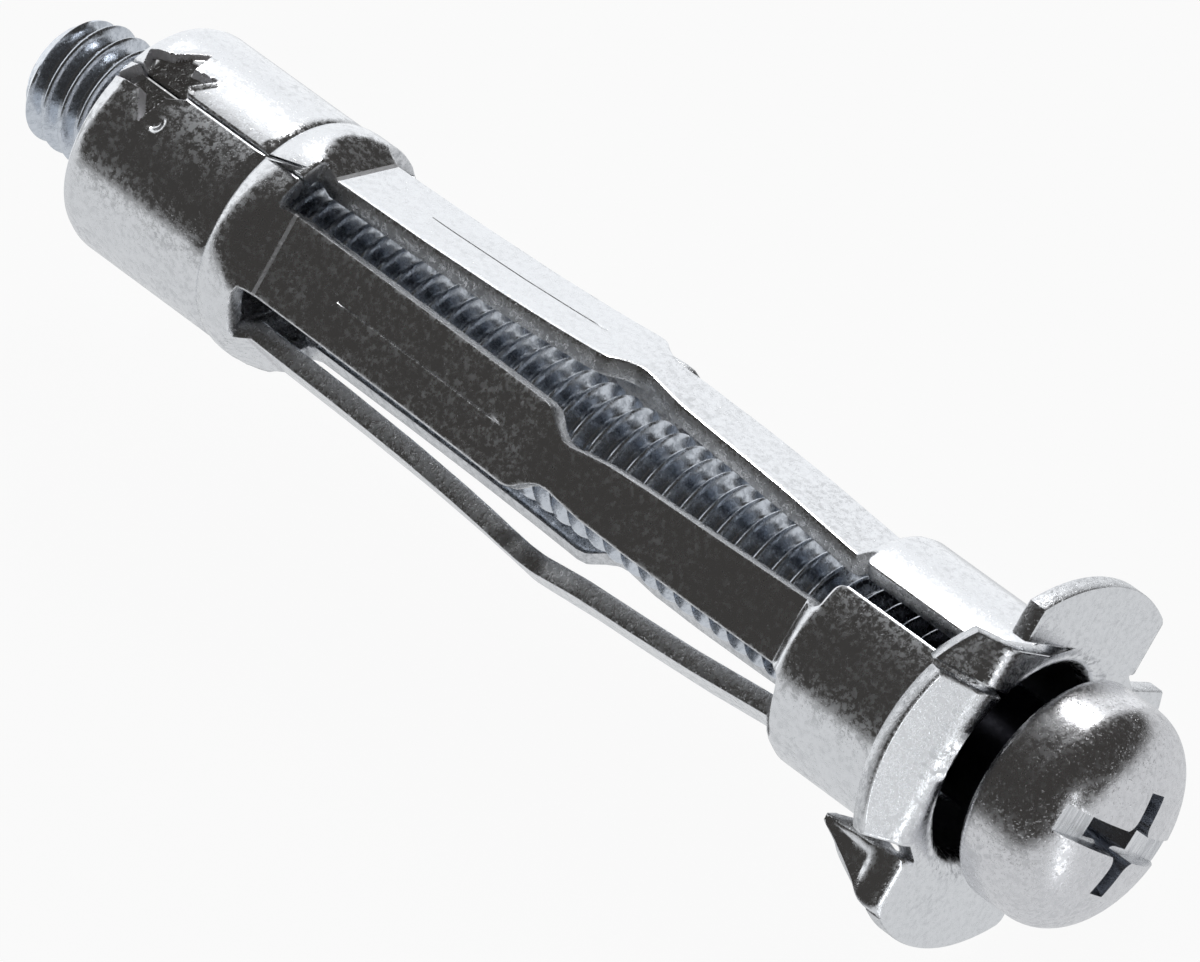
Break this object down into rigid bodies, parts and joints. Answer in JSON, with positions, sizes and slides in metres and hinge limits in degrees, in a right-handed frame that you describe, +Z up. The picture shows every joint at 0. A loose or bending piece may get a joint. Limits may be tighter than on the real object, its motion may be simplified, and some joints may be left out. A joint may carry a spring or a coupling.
{
  "type": "hollow wall anchor",
  "caption": "Expanding hollow wall anchor: slotted folded sheet sleeve with kneed legs and clawed flange, round nut in the tail and a pan-head machine screw.",
  "frame": {"origin": "on the screw's axis, at the back face of the flange, where it meets the wall", "axes": "+X along the axis out of the wall towards the screw's head; +Z up, with the anchor lying on two of its flange's corners and its tail"},
  "size_m": [0.0612, 0.0168, 0.0164],
  "materials": {
    "sleeve_steel": "bright zinc-plated sheet steel with fine scratches",
    "nut_steel": "zinc-plated turned steel",
    "screw_steel": "zinc-plated steel, satin head with small pits"
  },
  "bodies": {
    "sleeve": {"expansion_sleeve": "sleeve_steel", "threaded_nut": "nut_steel"},
    "screw": {"machine_screw": "screw_steel"}
  },
  "joints": [
    {"name": "screw_turn", "type": "hinge", "parent": "sleeve", "child": "screw", "pos_m": [0, 0, 0], "axis": [-1, 0, 0], "range_deg": [-3960, 396]}
  ]
}
